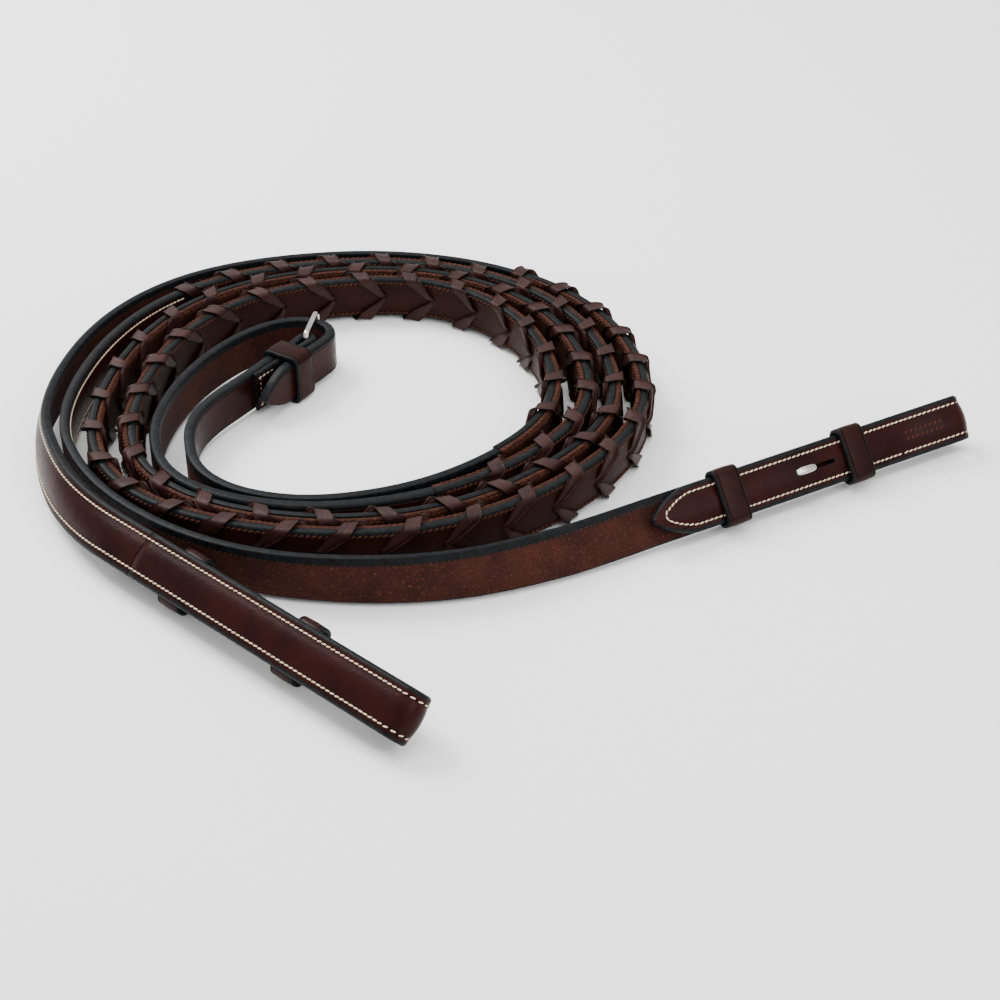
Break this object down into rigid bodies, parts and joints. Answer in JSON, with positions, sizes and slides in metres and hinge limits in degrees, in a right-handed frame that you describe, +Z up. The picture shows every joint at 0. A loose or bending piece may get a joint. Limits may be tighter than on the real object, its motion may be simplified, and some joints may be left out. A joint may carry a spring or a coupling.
{
  "type": "leather reins",
  "caption": "Pair of dark leather laced reins with hook stud billets, buckled together at the centre and wound into a flat coil that stands on the straps' narrow edges.",
  "frame": {"origin": "centre of the bounding box at its bottom, on the surface the coil stands on", "axes": "+X to the right towards the right rein's bit end, +Y away from the viewer, +Z up across the straps' width"},
  "size_m": [0.3268, 0.2778, 0.0208],
  "materials": {
    "dark_leather": "glossy finished bridle leather, dark red-brown",
    "lining_leather": "matte flesh side",
    "lace_leather": "satin lace leather",
    "nickel": "polished nickel plate"
  },
  "bodies": {
    "coil": {"left_bit_strap": "dark_leather", "left_grip_strap": "dark_leather", "left_grip_lining": "lining_leather", "left_lacing": "lace_leather", "left_hand_strap": "dark_leather", "right_bit_strap": "dark_leather", "right_grip_strap": "dark_leather", "right_grip_lining": "lining_leather", "right_lacing": "lace_leather", "right_hand_strap": "dark_leather", "right_chape": "dark_leather", "buckle_keeper": "dark_leather"},
    "left_end": {"left_bit_end": "dark_leather", "left_bit_loop": "dark_leather", "left_billet": "dark_leather", "left_near_keeper": "dark_leather", "left_far_keeper": "dark_leather", "left_hook_stud": "nickel"},
    "right_end": {"right_bit_end": "dark_leather", "right_bit_loop": "dark_leather", "right_billet": "dark_leather", "right_near_keeper": "dark_leather", "right_far_keeper": "dark_leather", "right_hook_stud": "nickel"},
    "buckle": {"buckle_frame": "nickel"},
    "prong": {"buckle_prong": "nickel"}
  },
  "joints": [
    {"name": "left_end_bend", "type": "hinge", "parent": "coil", "child": "left_end", "pos_m": [-0.12386, -0.04792, 0.0132], "axis": [0, 0, -1], "range_deg": [0, 12]},
    {"name": "right_end_bend", "type": "hinge", "parent": "coil", "child": "right_end", "pos_m": [0.04453, -0.03509, 0.00747], "axis": [0, 0, 1], "range_deg": [-12, 6]},
    {"name": "buckle_turn", "type": "hinge", "parent": "coil", "child": "buckle", "pos_m": [-0.07173, 0.07045, 0.0094], "axis": [0, 0, 1], "range_deg": [-3, 3]},
    {"name": "prong_lift", "type": "hinge", "parent": "buckle", "child": "prong", "pos_m": [-0.07173, 0.07045, 0.0094], "axis": [0, 0, -1], "range_deg": [0, 5]}
  ]
}
